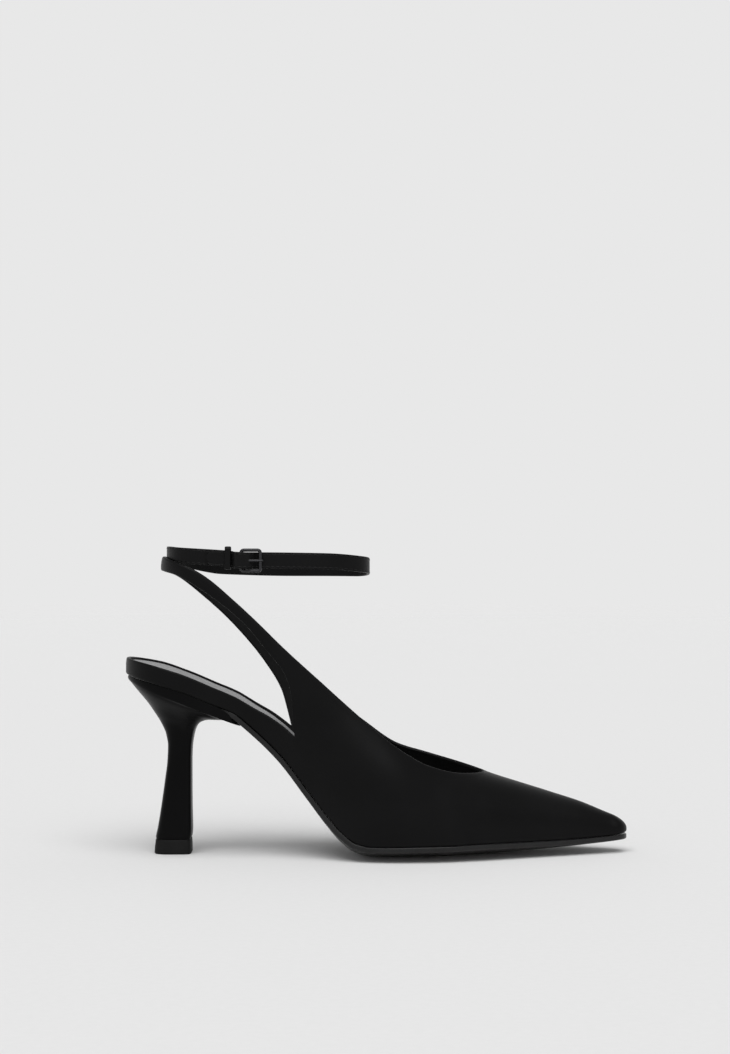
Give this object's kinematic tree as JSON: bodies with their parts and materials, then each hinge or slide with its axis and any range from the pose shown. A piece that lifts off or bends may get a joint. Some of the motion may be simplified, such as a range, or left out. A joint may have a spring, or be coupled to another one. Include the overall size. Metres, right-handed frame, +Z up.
{
  "type": "slingback pump",
  "caption": "Black high-heeled slingback pump, right shoe: pointed toe, open back with a sling band, buckled ankle strap, slim heel and padded grey insole.",
  "frame": {"origin": "middle of the heel's top piece, on the floor", "axes": "+X from the heel to the toe, +Y to the inner side of the foot, +Z up"},
  "size_m": [0.2405, 0.0757, 0.147],
  "materials": {
    "upper_leather": "satin",
    "insole_sock": "matt",
    "outsole_lacquer": "gloss",
    "heel_cover": "satin",
    "top_piece_rubber": "matt",
    "strap_leather": "satin",
    "buckle_metal": "gloss"
  },
  "bodies": {
    "root": {"upper": "upper_leather", "insole": "insole_sock", "outsole": "outsole_lacquer", "heel": "heel_cover", "top_piece": "top_piece_rubber", "ankle_strap": "strap_leather", "buckle_frame": "buckle_metal", "buckle_pin": "buckle_metal", "strap_keeper": "strap_leather"}
  },
  "joints": []
}
